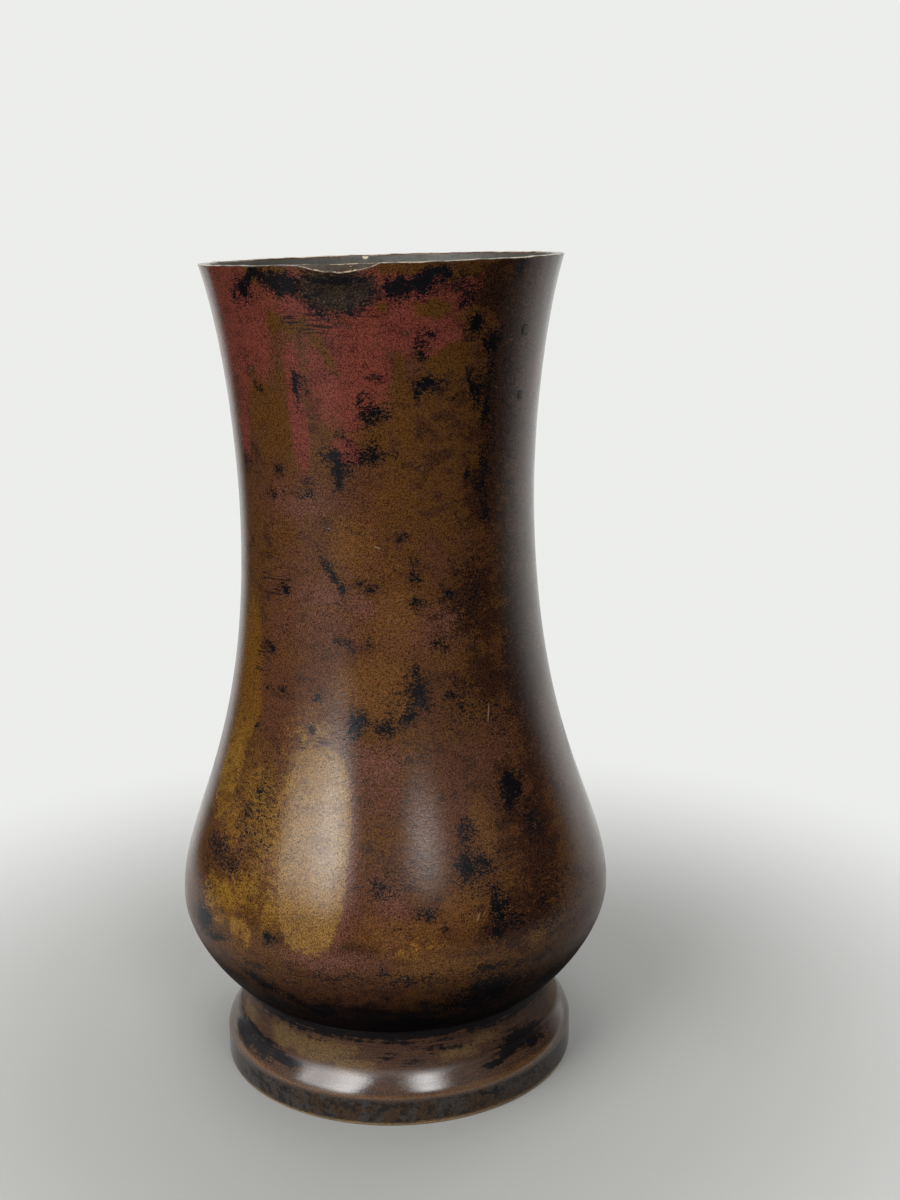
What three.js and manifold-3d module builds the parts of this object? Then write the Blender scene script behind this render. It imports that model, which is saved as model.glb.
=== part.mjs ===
// A hollow cast bronze flower vase: a flared neck over a low round belly, on a separate moulded foot.
// Millimetres, +Z up. The vase stands on z = 0 with its axis on Z, and its front faces -Y.
import * as THREE from 'three';
import { mergeVertices } from 'three/addons/utils/BufferGeometryUtils.js';
import loadManifold from 'manifold-3d';

// Body, measured outside the metal, with heights above the surface that the vase stands on
const vaseHeight = 240;
const mouthDiameter = 102.4;
const neckDiameter = 85.5;
const neckHeight = 169.8;
const bellyDiameter = 129.1;
const bellyHeight = 53.3;
const waistDiameter = 94;
const waistHeight = 26;
const wallThickness = 2.2;

// How long each stretch of the body's outline keeps its direction before it turns to the next
const waistSpreadAngle = 22.5;
const waistSpread = 6.2;
const bellyUnderturn = 10.4;
const bellyOverturn = 24.5;
const neckFall = 73;
const neckRise = 17.6;
const lipFlareAngle = 17.2;
const lipFlare = 20;

// Foot
const footDiameter = 106.2;
const footBandHeight = 8.6;
const footNeckFall = 12;
const footShoulderAngle = 16;
const footShoulder = 5.6;
const footEdgeRound = 0.7;
const standingWidth = 5;
const hollowDraft = 1.3;

// Spigot joint between the body and the foot
const jointShoulder = 2;
const spigotLength = 7;
const jointClearance = 0.3;
const ledgeThickness = 5.3;
const ledgeLip = 1.5;

// Base plate, let into the foot from below, and the solder that seals both joints
const plateThickness = 2;
const plateClearance = 0.3;
const solderLeg = 2.4;
const solderSag = 0.35;

// Square pins that held the casting core, now plugs flush with the neck's right side
const upperPlugSize = 2.6;
const lowerPlugSize = 2.1;
const upperPlugDrop = 19.2;
const lowerPlugDrop = 36.8;
const upperPlugAzimuth = 53.8;
const lowerPlugAzimuth = 55.1;
const plugClearance = 0.3;
const plugSink = 0.2;

// Knock in the rim, at the front left
const dentAzimuth = -13.4;
const dentWidth = 24;
const dentReach = 14;
const dentDepth = 1.8;
const dentLipDrop = 1;

// Facets
const facetsAround = 64;
const underbellySteps = 7;
const flankSteps = 9;
const flareSteps = 7;
const lipSteps = 6;
const footSteps = 8;

const wasm = await loadManifold();
wasm.setup();

const radians = THREE.MathUtils.degToRad;
const point = (radius, height) => new THREE.Vector2(radius, height);

// Point at a distance from another, in a direction measured from straight up, positive outwards
function along(start, angleFromUp, distance) {
  const angle = radians(angleFromUp);
  return point(start.x + distance * Math.sin(angle), start.y + distance * Math.cos(angle));
}

// The body's outer outline as three curves: waist to belly, belly to neck, neck to lip
function bodyCurves() {
  const lipRadius = wallThickness / 2;
  const flare = radians(lipFlareAngle);
  const waist = point(waistDiameter / 2, waistHeight);
  const belly = point(bellyDiameter / 2, bellyHeight);
  const neck = point(neckDiameter / 2, neckHeight);
  const lip = point(
    mouthDiameter / 2 - lipRadius * (1 - Math.cos(flare)),
    vaseHeight - lipRadius * (1 + Math.sin(flare)),
  );
  return [
    { curve: new THREE.CubicBezierCurve(
      waist, along(waist, 90 - waistSpreadAngle, waistSpread), point(belly.x, belly.y - bellyUnderturn), belly,
    ), steps: underbellySteps },
    { curve: new THREE.CubicBezierCurve(
      belly, point(belly.x, belly.y + bellyOverturn), point(neck.x, neck.y - neckFall), neck,
    ), steps: flankSteps },
    { curve: new THREE.CubicBezierCurve(
      neck, point(neck.x, neck.y + neckRise), along(lip, lipFlareAngle, -lipFlare), lip,
    ), steps: flareSteps },
  ];
}

// Outer points from the waist up, each with the inner point one wall thickness behind it
function bodyWall() {
  const outer = [];
  const inner = [];
  for (const { curve, steps } of bodyCurves()) {
    for (let step = outer.length ? 1 : 0; step <= steps; step += 1) {
      const position = curve.getPoint(step / steps);
      const tangent = curve.getTangent(step / steps);
      outer.push(position);
      inner.push(point(position.x - wallThickness * tangent.y, position.y + wallThickness * tangent.x));
    }
  }
  return { outer, inner };
}

// Half circle over the wall, from its outer to its inner edge
function lipPoints(outerEdge, innerEdge) {
  const centre = outerEdge.clone().lerp(innerEdge, 0.5);
  const points = [];
  for (let step = 1; step < lipSteps; step += 1) {
    const turn = (Math.PI * step) / lipSteps;
    points.push(outerEdge.clone().rotateAround(centre, turn));
  }
  return points;
}

// Turns a closed outline about Z; the first angle is at the front and angles grow towards +X
function turned(outline) {
  const geometry = new THREE.LatheGeometry([...outline, outline[0]], facetsAround);
  geometry.rotateX(Math.PI / 2);
  return welded(geometry);
}

// Keeps positions only, with the shared vertices merged
function welded(geometry) {
  geometry.deleteAttribute('normal');
  geometry.deleteAttribute('uv');
  return mergeVertices(geometry);
}

function toSolid(geometry) {
  return new wasm.Manifold(new wasm.Mesh({
    numProp: 3,
    vertProperties: new Float32Array(geometry.getAttribute('position').array),
    triVerts: new Uint32Array(geometry.getIndex().array),
  }));
}

function toGeometry(solid) {
  const { vertProperties, triVerts } = solid.getMesh();
  const geometry = new THREE.BufferGeometry();
  geometry.setAttribute('position', new THREE.BufferAttribute(vertProperties, 3));
  geometry.setIndex(new THREE.BufferAttribute(triVerts, 1));
  return geometry;
}

// Pushes the wall in and the lip down over the knock, most at the rim and fading to its edges
function knockRim(geometry) {
  const positions = geometry.getAttribute('position');
  const vertex = new THREE.Vector3();
  for (let index = 0; index < positions.count; index += 1) {
    vertex.fromBufferAttribute(positions, index);
    const radius = Math.hypot(vertex.x, vertex.y);
    const azimuth = Math.atan2(vertex.x, -vertex.y);
    const across = (2 * (azimuth - radians(dentAzimuth)) * radius) / dentWidth;
    const below = (vaseHeight - vertex.z) / dentReach;
    if (Math.abs(across) < 1 && below < 1) {
      const strength = Math.cos((across * Math.PI) / 2) ** 2 * (1 - below) ** 2 * (1 + 2 * below);
      const pushed = (radius - dentDepth * strength) / radius;
      const sunk = vertex.z - dentLipDrop * strength * (1 - below);
      positions.setXYZ(index, vertex.x * pushed, vertex.y * pushed, sunk);
    }
  }
  return geometry;
}

// Place of a plug: on the middle of the wall, with its own Z along the wall's outward normal
function plugPlace(drop, azimuth) {
  const height = vaseHeight - drop;
  const { outer } = bodyWall();
  const upper = outer.findIndex((edge) => edge.y >= height);
  const [below, above] = [outer[upper - 1], outer[upper]];
  const edge = below.clone().lerp(above, (height - below.y) / (above.y - below.y));
  const slope = above.clone().sub(below).normalize();
  const side = new THREE.Vector3(Math.sin(radians(azimuth)), -Math.cos(radians(azimuth)), 0);
  const normal = side.clone().multiplyScalar(slope.y).setZ(-slope.x);
  const place = new THREE.Object3D();
  place.up.set(0, 0, 1);
  place.position.copy(side).multiplyScalar(edge.x).setZ(edge.y);
  place.position.addScaledVector(normal, -wallThickness / 2);
  place.lookAt(place.position.clone().add(normal));
  place.updateMatrix();
  return place;
}

const plugs = [
  { name: 'core_plug_upper', size: upperPlugSize, place: plugPlace(upperPlugDrop, upperPlugAzimuth) },
  { name: 'core_plug_lower', size: lowerPlugSize, place: plugPlace(lowerPlugDrop, lowerPlugAzimuth) },
];

// Sizes that the joint, the foot and the base plate share
const spigotOuter = waistDiameter / 2 - jointShoulder;
const spigotInner = spigotOuter - wallThickness;
const socketRadius = spigotOuter + jointClearance;
const ledgeTop = waistHeight - spigotLength;
const plateTop = ledgeTop - ledgeThickness;
const plateBottom = plateTop - plateThickness;
const upperSolderOuter = spigotInner - jointClearance;
const ledgeInner = upperSolderOuter - solderLeg - ledgeLip;
const standingInner = footDiameter / 2 - standingWidth;
const hollowRadius = standingInner - hollowDraft;
const plateRadius = hollowRadius - plateClearance;

function bodyShell() {
  const { outer, inner } = bodyWall();
  const lip = lipPoints(outer.at(-1), inner.at(-1));
  const outline = [
    point(spigotInner, ledgeTop),
    point(spigotOuter, ledgeTop),
    point(spigotOuter, waistHeight),
    ...outer,
    ...lip,
    ...inner.reverse(),
    point(spigotInner, waistHeight + wallThickness),
  ];
  let solid = toSolid(knockRim(turned(outline)));
  for (const { size, place } of plugs) {
    const width = size + 2 * plugClearance;
    const hole = new THREE.BoxGeometry(width, width, 3 * wallThickness);
    solid = solid.subtract(toSolid(welded(hole).applyMatrix4(place.matrix)));
  }
  return toGeometry(solid);
}

function footRing() {
  const foot = footDiameter / 2;
  const waist = point(waistDiameter / 2, waistHeight);
  const edge = point(foot, footBandHeight);
  const moulding = new THREE.CubicBezierCurve(
    edge, along(edge, -footShoulderAngle, footShoulder), point(waist.x, waist.y - footNeckFall), waist,
  );
  return turned([
    point(standingInner, 0),
    point(foot - footEdgeRound, 0),
    point(foot, footEdgeRound),
    ...moulding.getPoints(footSteps),
    point(socketRadius, waistHeight),
    point(socketRadius, ledgeTop),
    point(ledgeInner, ledgeTop),
    point(ledgeInner, plateTop),
    point(hollowRadius, plateTop),
    point(hollowRadius, plateBottom - solderLeg),
  ]);
}

function basePlate() {
  return turned([
    point(0, plateBottom),
    point(plateRadius, plateBottom),
    point(plateRadius, plateTop),
    point(0, plateTop),
  ]);
}

// Solder run into a corner: its face sags between the two legs. rise is +1 above a seat, -1 below it
function solderFillet(outerRadius, seatHeight, rise) {
  const corner = point(outerRadius, seatHeight);
  const toe = point(outerRadius - solderLeg, seatHeight);
  const head = point(outerRadius, seatHeight + rise * solderLeg);
  const hollow = toe.clone().lerp(head, 0.5).lerp(corner, solderSag);
  const outline = [corner, head, hollow, toe];
  return turned(rise > 0 ? outline : outline.reverse());
}

function finish(name, color, roughness, metalness) {
  return new THREE.MeshStandardMaterial({ name, color, roughness, metalness });
}

function piece(name, geometry, material) {
  const mesh = new THREE.Mesh(geometry, material);
  mesh.name = name;
  return mesh;
}

const vase = new THREE.Group();
vase.add(
  piece('body_shell', bodyShell(), finish('mottled_patina', 0x6e4a26, 0.38, 0.85)),
  piece('foot_ring', footRing(), finish('foot_patina', 0x4a3826, 0.4, 0.85)),
  piece('base_plate', basePlate(), finish('plate_patina', 0x3e3428, 0.55, 0.8)),
  piece('foot_solder', solderFillet(upperSolderOuter, ledgeTop, 1), finish('inner_solder', 0x77746c, 0.5, 0.9)),
  piece('base_solder', solderFillet(plateRadius, plateBottom, -1), finish('outer_solder', 0x6f6a60, 0.55, 0.9)),
);

for (const { name, size, place } of plugs) {
  const pin = new THREE.BoxGeometry(size, size, wallThickness - 2 * plugSink);
  const mesh = piece(name, welded(pin), finish(`${name}_metal`, 0x2c241c, 0.5, 0.85));
  mesh.position.copy(place.position);
  mesh.quaternion.copy(place.quaternion);
  vase.add(mesh);
}

export default vase;
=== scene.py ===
"""Looks of a hollow cast bronze flower vase with a mottled brown, red, ochre and black patina."""

import math

import bmesh
import bpy
import numpy as np
from mathutils import Matrix, Vector


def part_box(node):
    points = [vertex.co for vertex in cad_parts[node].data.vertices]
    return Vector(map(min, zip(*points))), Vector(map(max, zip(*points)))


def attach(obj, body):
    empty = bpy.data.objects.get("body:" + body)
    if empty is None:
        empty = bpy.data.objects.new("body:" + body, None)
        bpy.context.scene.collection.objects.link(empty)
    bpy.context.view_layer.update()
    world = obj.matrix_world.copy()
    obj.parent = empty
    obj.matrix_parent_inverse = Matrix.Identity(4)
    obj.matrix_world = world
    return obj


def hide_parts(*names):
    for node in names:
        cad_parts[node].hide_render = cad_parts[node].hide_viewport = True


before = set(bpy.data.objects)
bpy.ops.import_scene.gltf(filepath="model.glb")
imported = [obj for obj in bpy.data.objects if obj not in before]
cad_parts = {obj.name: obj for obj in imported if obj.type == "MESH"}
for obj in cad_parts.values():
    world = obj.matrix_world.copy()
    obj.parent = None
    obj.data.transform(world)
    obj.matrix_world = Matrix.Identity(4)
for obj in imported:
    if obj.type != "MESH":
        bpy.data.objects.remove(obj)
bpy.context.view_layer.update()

# Sizes are in millimetres and angles in degrees. Azimuth 0 is the front, and grows to the right.
MM = 0.001

# Sizes read from the frame
body_low, body_high = (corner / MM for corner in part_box("body_shell"))
_, foot_high = (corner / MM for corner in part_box("foot_ring"))
plate_low, plate_high = (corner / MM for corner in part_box("base_plate"))
VASE_HEIGHT = 240.0
BELLY_RADIUS = body_high.x
FOOT_RADIUS = foot_high.x
WAIST_HEIGHT = foot_high.z
LEDGE_TOP = body_low.z
PLATE_TOP = plate_high.z
PLATE_BOTTOM = plate_low.z
PLATE_RADIUS = plate_high.x

# Body outline, as the solids have it
WALL = 2.2
MOUTH_RADIUS = 51.2
NECK_RADIUS = 42.75
NECK_HEIGHT = 169.8
BELLY_HEIGHT = 53.3
WAIST_RADIUS = 47.0
WAIST_SPREAD_ANGLE = 22.5
WAIST_SPREAD = 6.2
BELLY_UNDERTURN = 10.4
BELLY_OVERTURN = 24.5
NECK_FALL = 73.0
NECK_RISE = 17.6
LIP_FLARE_ANGLE = 17.2
LIP_FLARE = 20.0
JOINT_SHOULDER = 2.0
JOINT_CLEARANCE = 0.3
SEAM_ROUND = 0.45
LIP_TOP = VASE_HEIGHT - 0.1
LIP_EASE = 0.5

# Foot outline
FOOT_BAND = 8.6
FOOT_NECK_FALL = 12.0
FOOT_SHOULDER_ANGLE = 16.0
FOOT_SHOULDER = 5.6
FOOT_EDGE_ROUND = 0.7
STANDING_WIDTH = 5.0
HOLLOW_DRAFT = 1.3
LEDGE_LIP = 1.5
SOLDER_LEG = 2.4

# Knock in the rim, and how the rim and wall run out of true
DENT_AZIMUTH = -13.4
DENT_WIDTH = 23.0
DENT_REACH = 12.0
DENT_DEPTH = 1.2
DENT_LIP_DROP = 2.0
DENT_RAGGED = 0.07
DENT_FALL = 1.15
DENT_LOPSIDED = 0.25
RIM_TILT = 0.75
RIM_TILT_FROM = 190.0
RIM_WOBBLE = 0.04
UNEVEN = 0.1
UNEVEN_LESS_AT_RIM = 0.6
# Waves round the rim, as turns and phase, and in the wall, as size, turns, run up and phase
WOBBLE_WAVES = ((13, 1), (29, 0), (47, 2))
RAGGED_WAVES = ((43, 0), (71, 1), (97, 2))
WALL_WAVES = ((1.0, 3, 31, 0), (0.7, 5, -19, 1), (0.4, 9, math.inf, 0))

# Mesh density
AROUND = 320
OUTER_RINGS = 215
INNER_RINGS = 60
EASE_RINGS = 7
LIP_FACE_RINGS = 5
FOOT_RINGS = 70
BAND_RINGS = 24
PLATE_RINGS = 60
PLATE_AROUND = 160
SOLDER_RINGS = 14
SOLDER_AROUND = 200
PLUG_AROUND = 40
CURVE_POINTS = 160


def outline_point(radius, height):
    return np.array([radius, height], float)


def along(start, angle_from_up, distance):
    """Point at a distance from another, in a direction measured from straight up, positive outwards."""
    angle = math.radians(angle_from_up)
    return start + distance * np.array([math.sin(angle), math.cos(angle)])


def bezier(start, leave, arrive, end, count=CURVE_POINTS):
    t = np.linspace(0, 1, count)[:, None]
    return (1 - t) ** 3 * start + 3 * (1 - t) ** 2 * t * leave + 3 * (1 - t) * t**2 * arrive + t**3 * end


def evenly(points, count):
    """The same outline with a number of points spread evenly along it."""
    steps = np.hypot(*np.diff(points, axis=0).T)
    run = np.concatenate([[0], np.cumsum(steps)])
    places = np.linspace(0, run[-1], count)
    return np.stack([np.interp(places, run, points[:, axis]) for axis in (0, 1)], axis=1)


def smooth_step(value, low, high):
    t = np.clip((value - low) / (high - low), 0, 1)
    return t * t * (3 - 2 * t)


def eased(before, corner, after, cut):
    """Points that round a corner off, starting a cut before it and ending a cut after it."""
    start = corner + (before - corner) * cut / np.hypot(*(before - corner))
    end = corner + (after - corner) * cut / np.hypot(*(after - corner))
    t = np.linspace(0, 1, EASE_RINGS)[:, None]
    return (1 - t) ** 2 * start + 2 * (1 - t) * t * corner + t**2 * end


def body_outer():
    """Outer outline of the body from the waist to the lip."""
    waist = outline_point(WAIST_RADIUS, WAIST_HEIGHT)
    belly = outline_point(BELLY_RADIUS, BELLY_HEIGHT)
    neck = outline_point(NECK_RADIUS, NECK_HEIGHT)
    lip = outline_point(MOUTH_RADIUS, LIP_TOP)
    spread = along(waist, 90 - WAIST_SPREAD_ANGLE, WAIST_SPREAD)
    lower = bezier(waist, spread, belly - [0, BELLY_UNDERTURN], belly)
    flank = bezier(belly, belly + [0, BELLY_OVERTURN], neck - [0, NECK_FALL], neck)
    upper = bezier(neck, neck + [0, NECK_RISE], along(lip, LIP_FLARE_ANGLE, -LIP_FLARE), lip)
    return evenly(np.concatenate([lower, flank[1:], upper[1:]]), OUTER_RINGS)


def body_outline():
    """Closed outline of the shell, up outside, over the lip and down inside, with each point's share in the
    outside: 1 up to the lip's outer edge, falling to 0 at its inner edge."""
    outer = body_outer()
    tangent = np.gradient(outer, axis=0)
    tangent /= np.hypot(*tangent.T)[:, None]
    inner = outer + WALL * np.stack([-tangent[:, 1], tangent[:, 0]], axis=1)
    inner = inner[inner[:, 1] < LIP_TOP - 2 * LIP_EASE]
    lip_inner = outline_point(MOUTH_RADIUS - WALL / math.cos(math.radians(LIP_FLARE_ANGLE)), LIP_TOP)
    spigot_outer = WAIST_RADIUS - JOINT_SHOULDER
    spigot_inner = spigot_outer - WALL
    spigot = [
        outline_point(spigot_inner, WAIST_HEIGHT + WALL),
        outline_point(spigot_inner, LEDGE_TOP),
        outline_point(spigot_outer, LEDGE_TOP),
        outline_point(spigot_outer, WAIST_HEIGHT),
    ]
    seam_ease = eased(spigot[-1], outer[0], outer[1], SEAM_ROUND)
    outer_ease = eased(outer[-2], outer[-1], lip_inner, LIP_EASE)
    inner_ease = eased(outer[-1], lip_inner, inner[-1], LIP_EASE)
    outside = np.concatenate([seam_ease, outer[1:-1], outer_ease])
    lip_face = evenly(np.array([outer_ease[-1], inner_ease[0]]), LIP_FACE_RINGS + 2)[1:-1]
    inside = np.concatenate([inner_ease, evenly(inner[::-1], INNER_RINGS), spigot])
    lip_share = np.linspace(1, 0, LIP_FACE_RINGS + 2)[1:-1]
    share = np.concatenate([np.ones(len(outside)), lip_share, np.zeros(len(inside))])
    return np.concatenate([outside, lip_face, inside]), share


def wrapped(angle):
    return (angle + 180) % 360 - 180


def waves(turn, terms):
    return sum(np.sin(turns * turn + phase) for turns, phase in terms)


def wear_shape(azimuth, height, radius, outside=1.0):
    """The body as it is now: rim out of level and its outer edge knocked in, wall slightly uneven."""
    turn = np.radians(azimuth)
    rise = smooth_step(height, RIM_TILT_FROM, VASE_HEIGHT)
    across = 2 * np.radians(wrapped(azimuth - DENT_AZIMUTH)) * radius / DENT_WIDTH
    below = (VASE_HEIGHT - height) / DENT_REACH
    knock = outside * np.clip(1 - across**2 - below**2, 0, 1) ** DENT_FALL * (1 + DENT_LOPSIDED * across)
    uneven = sum(
        size * (np.sin(turns * turn + height / run + phase) - 1) for size, turns, run, phase in WALL_WAVES
    )
    wobble = waves(turn, WOBBLE_WAVES) - len(WOBBLE_WAVES)
    new_radius = radius - DENT_DEPTH * knock + UNEVEN * uneven * (1 - UNEVEN_LESS_AT_RIM * rise)
    ragged = waves(turn, RAGGED_WAVES) - 1
    lip_drop = (DENT_LIP_DROP - DENT_RAGGED * ragged) * knock
    new_height = height - lip_drop * np.clip(1 - below, 0, 1) ** 2
    new_height = new_height - RIM_TILT * (1 - np.sin(turn)) * rise + RIM_WOBBLE * wobble * rise**8
    return new_height, new_radius


def add_object(name, data):
    made = bpy.data.objects.new(name, data)
    bpy.context.collection.objects.link(made)
    return made


def add_mesh(name, points, faces):
    """Object with a smooth mesh."""
    mesh = bpy.data.meshes.new(name)
    mesh.from_pydata(points, [], faces)
    mesh.polygons.foreach_set("use_smooth", np.ones(len(faces), bool))
    return add_object(name, mesh)


def ring_faces(rings, around, closed=True):
    """Faces between neighbouring rings of points, and from the last to the first where they close."""
    ring = np.arange(rings if closed else rings - 1)[:, None]
    column = np.arange(around)[None, :]
    next_ring = (ring + 1) % rings
    next_column = (column + 1) % around
    corners = [ring * around + column, ring * around + next_column]
    corners += [next_ring * around + next_column, next_ring * around + column]
    return np.stack(np.broadcast_arrays(*corners), axis=2).reshape(-1, 4).tolist()


def turned_piece(name, outline, around=AROUND, reshape=None):
    """Mesh of a closed outline turned about Z, with the azimuth, height and radius of its vertices."""
    rings = len(outline)
    azimuth = np.tile(np.arange(around) * 360 / around - 180, (rings, 1))
    radius = np.repeat(outline[:, :1], around, axis=1)
    height = np.repeat(outline[:, 1:], around, axis=1)
    place = (azimuth, height, radius)
    if reshape:
        height, radius = reshape(azimuth, height, radius)
    turn = np.radians(azimuth)
    points = np.stack([radius * np.sin(turn), -radius * np.cos(turn), height], axis=2).reshape(-1, 3) * MM
    made = add_mesh(name, points.tolist(), ring_faces(rings, around))
    unrolled(made.data, outline, around)
    return made, place


def unrolled(mesh, outline, around):
    """UV map of a turned mesh: around the axis by along the outline."""
    steps = np.hypot(*(np.roll(outline, -1, axis=0) - outline).T)
    run = np.concatenate([[0], np.cumsum(steps)]) / steps.sum()
    low, high = np.meshgrid(run[:-1], np.arange(around) / around, indexing="ij")
    top = np.repeat(run[1:, None], around, axis=1)
    right = high + 1 / around
    corners = np.stack([high, low, right, low, right, top, high, top], axis=2)
    layer = mesh.uv_layers.new(name="OFBake")
    layer.uv.foreach_set("vector", corners.reshape(-1))


def paint(mesh, name, channels):
    """Store four fields, one value a vertex, as one attribute that a material reads."""
    layer = mesh.attributes.new(name, "FLOAT_COLOR", "POINT")
    values = np.stack([np.broadcast_to(c, channels[0].shape).reshape(-1) for c in channels], axis=1)
    layer.data.foreach_set("color", values.astype(np.float32).reshape(-1))


# Patina marks, read from the photograph: azimuth, height, half width, half height, and the lean of those
# that lean
# Some of these tables also carry painted shade, and the tongue's a painted highlight, as noted at each.
RED_ZONE = (
    (-55, 224, 14, 22), (-80, 216, 10, 24), (-6, 232, 32, 8), (-13, 212, 11, 16), (-31.5, 202, 3.4, 18),
    (12, 221.5, 13, 6), (-14, 191, 4, 4), (27, 233, 4, 7), (-62, 194, 3, 10),
)
OLIVE_PATCHES = (
    (-46.5, 198.5, 6.5, 11.5), (-36, 225, 2.6, 3), (-29, 223.5, 4.5, 1.3), (-20, 217.5, 7, 1.7, -58),
    (0, 229.5, 2.2, 1.3), (15, 228, 5.5, 2.4), (23, 214.5, 7, 3.8), (5, 213, 1.8, 3.4), (6, 201, 2.6, 9),
    (-2, 193, 3, 3), (9, 238.6, 10, 1.5), (25, 237.4, 8, 2.2),
)
OCHRE_PATCHES = (
    (-62, 122, 7, 26), (-55, 117, 3.5, 8), (-63, 99, 7, 15), (-53, 64.5, 9, 6.5), (-43, 58.5, 5, 3.5),
)
BROKEN_OCHRE = (
    (-46, 93, 8, 15), (-40, 86, 6, 16), (-54, 84, 7, 10), (-44, 70, 10, 8), (-35, 86, 5, 22),
    (-34, 68, 4, 9),
)
FAINT_OCHRE = ((4, 59, 12, 3.6), (37, 57, 8, 4.2))
# The tongue's outline; it also bounds its even coat, which is partly a painted highlight
OCHRE_TONGUE = ((-23.3, 84, 10.4, 27, 2),)
TONGUE_FLANK = ((-34, 84, 9, 25, 4), (-28, 110, 10, 15))
TONGUE_SHADE = ((-20.6, 82.3, 11, 28.3, 2),)
ROSE_PATCHES = (
    (-23, 153, 4.5, 5), (-9, 149, 5.5, 4.5), (20, 144, 5.5, 3.5), (-4, 107.5, 7.5, 4.5),
    (-36, 176, 10, 4.5), (42, 84, 5, 4), (-20, 55.5, 14, 2.8), (-38, 79, 3.6, 4), (-1, 72, 5, 6),
)
AMBER_PATCHES = (
    (25.5, 88, 4, 8), (18, 68, 8, 5), (41, 74, 7, 8), (0, 64, 11, 4), (10, 53, 14, 3), (-48, 52, 8, 3),
    (-3, 127, 9, 8), (-12, 128, 6, 6), (3, 145, 6, 8), (-14, 165, 5, 8),
)
BLACK_BLOTS = (
    (-43, 236, 2.6, 1.1, 15), (2.5, 234.4, 1.8, 2.6), (46, 237.5, 1.8, 2.2), (37, 218, 2, 3.8, 15),
    (15, 208.6, 3.8, 1.9), (11.5, 207, 1.7, 1.7), (32, 207.6, 4.4, 1.2, -55), (38, 199.5, 1.4, 4.4),
    (-30, 208, 1.9, 3.6, -10), (-3, 200.5, 2.8, 1.8, -45), (-4, 188.4, 2.4, 2), (-19, 189, 1.8, 2.4),
    (-16.5, 183.6, 1.6, 2.7, -10), (-42, 153, 2.2, 1.8, -15), (-22.5, 158.8, 4.8, 1.3, -58),
    (-18.5, 153.5, 2, 1.1, -45), (-48, 135.7, 3, 0.9), (-46, 134.6, 1.3, 1), (-26, 122.6, 1.7, 0.9),
    (-28, 115, 1.6, 1.3), (9, 125.5, 2.8, 5.2), (7, 131.5, 1.2, 2.6), (6, 119.5, 3.2, 1.8, 30),
    (-12, 117, 1.9, 3.4), (21, 123.8, 2.3, 0.8, 15), (38, 96, 3.5, 4.2), (-60, 56.5, 5, 4),
    (-53, 53, 5.5, 1.4, 10), (-33, 59.6, 1.7, 1.7), (20, 79, 3.2, 3.2, 15), (26.5, 67, 2, 5, 10),
    (26, 61, 2.8, 1.8),
)
BOLD_BLOTS = (
    (-47.5, 233.2, 3, 2.6), (-43.5, 236.2, 3.2, 1.8, 30), (-39.5, 237.6, 2.6, 1.5, 10),
    (-34.5, 236.8, 4, 2.5, -10), (-29.5, 234.2, 3.2, 2.9, -30), (6, 233.6, 3, 2.5),
    (11.5, 234.8, 4.6, 2.7, 15), (17.5, 237, 4, 1.6, 20), (31, 223, 2.4, 2.7), (14.5, 208.6, 3.4, 1.7),
    (31, 208.6, 3.8, 1.2, -60), (-17.6, 187, 1.6, 3.2, -10), (37.4, 98, 2.2, 2.3), (39.6, 94.6, 2, 2.1),
    (36.6, 92.6, 1.3, 1.7), (-59, 56.5, 4.4, 3.4), (-47, 135.4, 2.4, 0.9, 10),
)
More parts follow.
